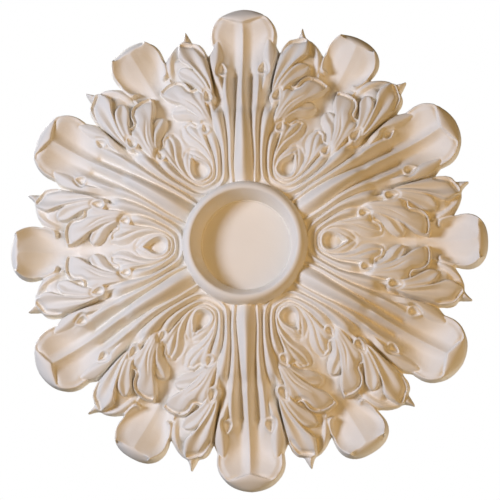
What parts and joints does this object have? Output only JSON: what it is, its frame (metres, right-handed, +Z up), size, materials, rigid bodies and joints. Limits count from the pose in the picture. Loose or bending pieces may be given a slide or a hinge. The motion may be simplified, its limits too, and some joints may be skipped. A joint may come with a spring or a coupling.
{
  "type": "ceiling rose",
  "caption": "Round cast plaster ceiling rose with acanthus leaves radiating from a ring moulding round a flat recessed disc; flat back.",
  "frame": {"origin": "centre of the flat back, on the ceiling", "axes": "+Z up into the ceiling; the carving faces down, -Z; +Y along a main leaf, +X along a secondary leaf"},
  "size_m": [0.6, 0.61, 0.068],
  "materials": {
    "plaster": "matte cream-painted plaster"
  },
  "bodies": {
    "root": {"ceiling_rose": "plaster"}
  },
  "joints": []
}
